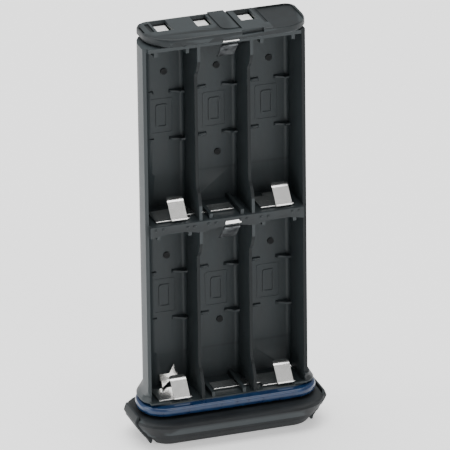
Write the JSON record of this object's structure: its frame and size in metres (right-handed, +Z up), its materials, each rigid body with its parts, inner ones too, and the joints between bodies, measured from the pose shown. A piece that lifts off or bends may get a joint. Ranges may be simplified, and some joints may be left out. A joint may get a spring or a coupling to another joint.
{
  "type": "battery tray",
  "caption": "Slim open-front tray that holds AA cells end to end in side-by-side bays, with a sealed base, squeeze latches and top contact windows, for a handheld radio.",
  "frame": {"origin": "centre of the underside of the base, the bottom of the whole part's box", "axes": "+Z up, from the sealed base to the contact windows; +X to the right when facing the open bays; -Y is the open front"},
  "size_m": [0.0586, 0.026, 0.1258],
  "materials": {
    "black_plastic": "fine moulded texture, satin",
    "seal_blue": "smooth silicone, greased",
    "contact_metal": "bright nickel plate",
    "steel": "plain steel",
    "board_green": "solder mask",
    "part_epoxy": "moulded epoxy"
  },
  "bodies": {
    "tray": {"tray_body": "black_plastic", "top_cap": "black_plastic", "base_cap": "black_plastic", "seal_ring": "seal_blue", "terminal_positive": "contact_metal", "terminal_sense": "contact_metal", "terminal_negative": "contact_metal", "terminal_board": "board_green", "resettable_fuse": "part_epoxy", "sense_resistor": "part_epoxy", "contact_u1_positive": "contact_metal", "link_u1_to_u2": "contact_metal", "link_u2_to_u3": "contact_metal", "link_u3_to_l3": "contact_metal", "link_l3_to_l2": "contact_metal", "link_l2_to_l1": "contact_metal", "contact_l1_negative": "contact_metal", "return_tab": "contact_metal", "return_strap": "contact_metal", "latch_pin_left": "steel", "latch_pin_right": "steel", "latch_spring_left": "steel", "latch_spring_right": "steel", "base_screw_left": "steel", "base_screw_right": "steel"},
    "leaf_u1": {"leaf_u1": "contact_metal"},
    "leaf_u2": {"leaf_u2": "contact_metal"},
    "leaf_u3": {"leaf_u3": "contact_metal"},
    "leaf_l1": {"leaf_l1": "contact_metal"},
    "leaf_l2": {"leaf_l2": "contact_metal"},
    "leaf_l3": {"leaf_l3": "contact_metal"},
    "latch_left": {"latch_left": "black_plastic"},
    "latch_right": {"latch_right": "black_plastic"}
  },
  "joints": [
    {"name": "leaf_u1_press", "type": "hinge", "parent": "tray", "child": "leaf_u1", "pos_m": [-0.015, -0.0058, 0.0697], "axis": [-1, 0, 0], "range_deg": [0, 36], "stiffness_Nm_per_rad": 0.011},
    {"name": "leaf_u2_press", "type": "hinge", "parent": "tray", "child": "leaf_u2", "pos_m": [0.0008, -0.0058, 0.1209], "axis": [1, 0, 0], "range_deg": [0, 36], "stiffness_Nm_per_rad": 0.011},
    {"name": "leaf_u3_press", "type": "hinge", "parent": "tray", "child": "leaf_u3", "pos_m": [0.0166, -0.0058, 0.0697], "axis": [-1, 0, 0], "range_deg": [0, 36], "stiffness_Nm_per_rad": 0.011},
    {"name": "leaf_l1_press", "type": "hinge", "parent": "tray", "child": "leaf_l1", "pos_m": [-0.015, -0.0058, 0.0137], "axis": [-1, 0, 0], "range_deg": [0, 36], "stiffness_Nm_per_rad": 0.011},
    {"name": "leaf_l2_press", "type": "hinge", "parent": "tray", "child": "leaf_l2", "pos_m": [0.0008, -0.0058, 0.0649], "axis": [1, 0, 0], "range_deg": [0, 36], "stiffness_Nm_per_rad": 0.011},
    {"name": "leaf_l3_press", "type": "hinge", "parent": "tray", "child": "leaf_l3", "pos_m": [0.0166, -0.0058, 0.0137], "axis": [-1, 0, 0], "range_deg": [0, 36], "stiffness_Nm_per_rad": 0.011},
    {"name": "latch_left_squeeze", "type": "hinge", "parent": "tray", "child": "latch_left", "pos_m": [-0.0246, 0, 0.0056], "axis": [0, -1, 0], "range_deg": [0, 8], "stiffness_Nm_per_rad": 0.06, "springref_deg": -8.59, "deforming": ["latch_spring_left"]},
    {"name": "latch_right_squeeze", "type": "hinge", "parent": "tray", "child": "latch_right", "pos_m": [0.0246, 0, 0.0056], "axis": [0, 1, 0], "range_deg": [0, 8], "stiffness_Nm_per_rad": 0.06, "springref_deg": -8.59, "deforming": ["latch_spring_right"]}
  ]
}
